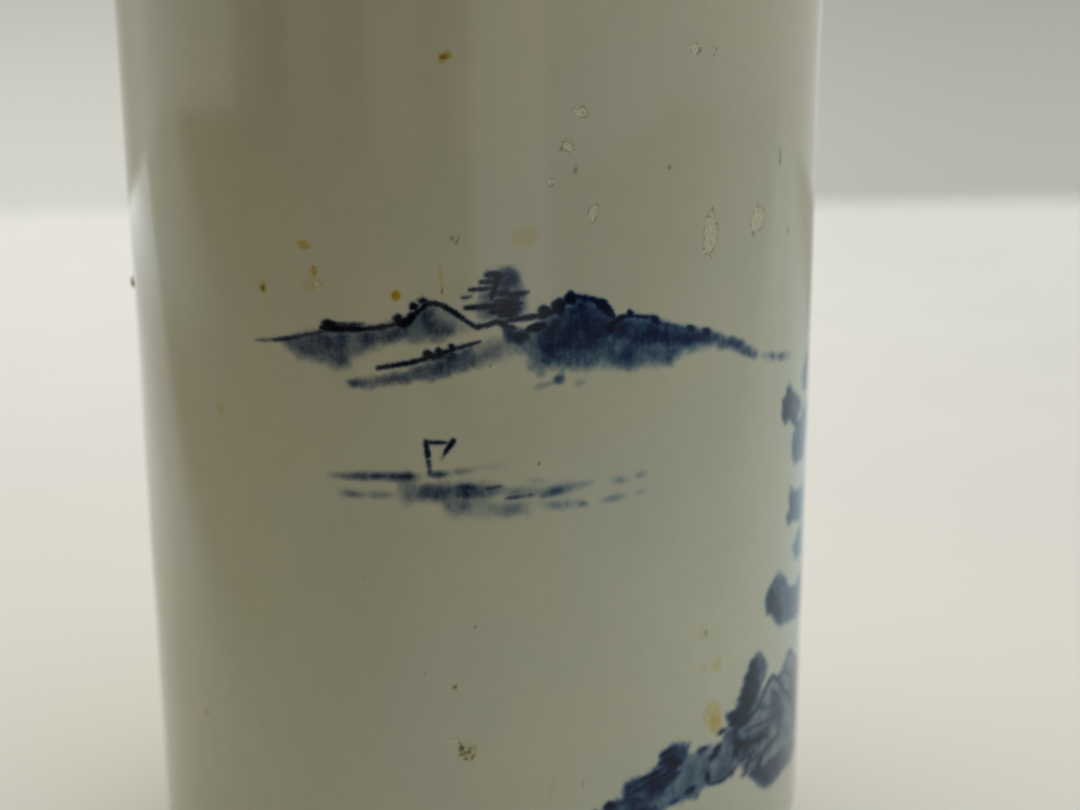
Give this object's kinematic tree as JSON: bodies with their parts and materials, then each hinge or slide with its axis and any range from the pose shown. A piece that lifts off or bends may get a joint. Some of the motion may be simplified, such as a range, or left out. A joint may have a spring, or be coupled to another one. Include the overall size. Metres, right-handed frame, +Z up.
{
  "type": "brush pot",
  "caption": "Cylindrical glazed porcelain pot that holds writing brushes upright, with a slightly flared rim and a low turned foot ring around a recessed base.",
  "frame": {"origin": "centre of the foot ring's resting plane", "axes": "+Z up along the pot's axis of revolution; -Y towards the viewer, the middle of the painted side"},
  "size_m": [0.0912, 0.0912, 0.13],
  "materials": {
    "clay_body": "fired porcelain clay, unglazed, hidden under the glaze",
    "bare_foot": "unglazed fired clay, fine matt grain, slightly burnt and dirty",
    "painted_glaze": "glossy greenish-white glaze over underglaze blue landscape brushwork, with pits and iron specks",
    "plain_glaze": "glossy greenish-white glaze with fine pits"
  },
  "bodies": {
    "root": {"wall_body": "clay_body", "floor_disc": "clay_body", "foot_ring": "bare_foot", "outer_glaze": "painted_glaze", "inner_glaze": "plain_glaze", "base_glaze": "plain_glaze"}
  },
  "joints": []
}
